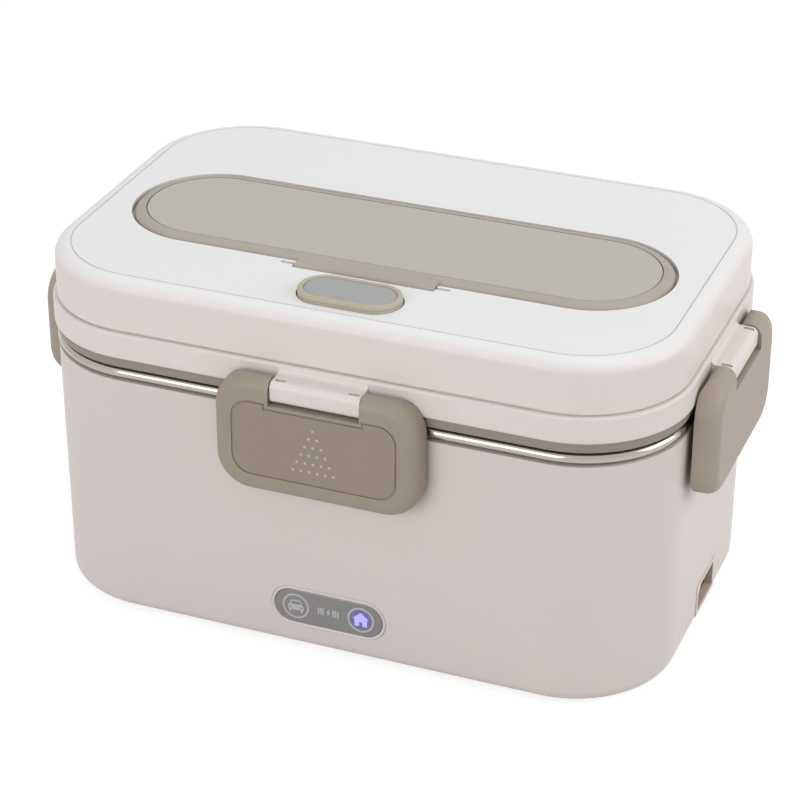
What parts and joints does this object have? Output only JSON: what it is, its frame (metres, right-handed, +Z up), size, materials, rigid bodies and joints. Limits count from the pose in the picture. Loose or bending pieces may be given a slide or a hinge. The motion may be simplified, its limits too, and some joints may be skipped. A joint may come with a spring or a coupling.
{
  "type": "electric lunch box",
  "caption": "Heated lunch box with a lift-out steel container, a clip-on lid held by edge latches, a hinged cutlery bay cover and a pull-up steam plug.",
  "frame": {"origin": "on the table under the centre of the box, level with the undersides of the feet", "axes": "+X to the right along the long side, +Y to the back, +Z up; the front with the indicator panel faces -Y"},
  "size_m": [0.2562, 0.172, 0.1375],
  "materials": {
    "shell_cream": "satin moulded polypropylene, warm cream",
    "lid_white": "satin moulded polypropylene, cool white",
    "band_cream": "satin moulded polypropylene, pale cream",
    "taupe_plastic": "matte moulded plastic, grey-brown",
    "inlay_grey": "fine satin plastic, grey-brown",
    "plug_grey": "soft silicone, blue-grey",
    "plug_rim": "soft silicone, grey-brown",
    "seal_grey": "soft silicone, grey",
    "foot_rubber": "matte rubber, dark",
    "stainless": "brushed stainless sheet, polished rolled rim",
    "steel": "bright zinc-plated steel",
    "aluminium": "cast aluminium, machined face",
    "well_plastic": "heat-resistant grey plastic",
    "base_plastic": "matte moulded plastic",
    "ceramic": "film-wrapped ceramic heater",
    "black_plastic": "matte heat-resistant plastic",
    "pad_felt": "mineral-fibre felt",
    "board_green": "solder-masked glass-fibre board",
    "led_clear": "clear diffused package",
    "panel_grey": "smoke-tinted clear plastic",
    "bezel_pearl": "pearl satin trim",
    "socket_brown": "matte dark plastic",
    "wire": "silicone-insulated wire"
  },
  "bodies": {
    "base": {"outer_shell": "shell_cream", "base_plate": "base_plastic", "feet": "foot_rubber", "base_screws": "steel", "inner_well": "well_plastic", "heating_plate": "aluminium", "heater_mains": "ceramic", "heater_low_voltage": "ceramic", "heater_clamp": "steel", "heater_screws": "steel", "thermostat": "black_plastic", "thermal_fuse": "base_plastic", "insulation_pad": "pad_felt", "circuit_board": "board_green", "board_screws": "steel", "indicator_leds": "led_clear", "panel_bezel": "bezel_pearl", "panel_window": "panel_grey", "socket_frame": "shell_cream", "socket_housing": "socket_brown", "socket_pins": "steel", "wiring": "wire"},
    "container": {"food_container": "stainless"},
    "lid": {"lid_band": "band_cream", "lid_cover": "lid_white", "inner_lid": "lid_white", "lid_seal": "seal_grey", "lid_screws": "steel", "latch_pins": "steel", "cover_hinge_pin": "steel"},
    "bay_cover": {"cutlery_cover": "taupe_plastic", "cover_inlay": "inlay_grey"},
    "plug": {"steam_plug": "plug_rim", "plug_inset": "plug_grey"},
    "front_latch": {"latch_front": "taupe_plastic"},
    "right_latch": {"latch_right": "taupe_plastic"},
    "back_latch": {"latch_back": "taupe_plastic"},
    "left_latch": {"latch_left": "taupe_plastic"}
  },
  "joints": [
    {"name": "lid_lift", "type": "slide", "parent": "base", "child": "lid", "axis": [0, 0, 1], "range_m": [0, 0.17]},
    {"name": "container_lift", "type": "slide", "parent": "base", "child": "container", "axis": [0, 0, 1], "range_m": [0, 0.085]},
    {"name": "bay_cover_hinge", "type": "hinge", "parent": "lid", "child": "bay_cover", "pos_m": [0, -0.0386, 0.1332], "axis": [1, 0, 0], "range_deg": [0, 95]},
    {"name": "plug_pull", "type": "slide", "parent": "lid", "child": "plug", "axis": [0, 0, 1], "range_m": [0, 0.008]},
    {"name": "front_latch_hinge", "type": "hinge", "parent": "lid", "child": "front_latch", "pos_m": [0, -0.0812, 0.1089], "axis": [-1, 0, 0], "range_deg": [0, 100]},
    {"name": "right_latch_hinge", "type": "hinge", "parent": "lid", "child": "right_latch", "pos_m": [0.1237, 0, 0.1089], "axis": [0, -1, 0], "range_deg": [0, 100]},
    {"name": "back_latch_hinge", "type": "hinge", "parent": "lid", "child": "back_latch", "pos_m": [0, 0.0812, 0.1089], "axis": [1, 0, 0], "range_deg": [0, 100]},
    {"name": "left_latch_hinge", "type": "hinge", "parent": "lid", "child": "left_latch", "pos_m": [-0.1237, 0, 0.1089], "axis": [0, 1, 0], "range_deg": [0, 100]}
  ],
  "couplings": [
    {"joint": "container_lift", "follows": "lid_lift", "ratio": 0.5}
  ]
}
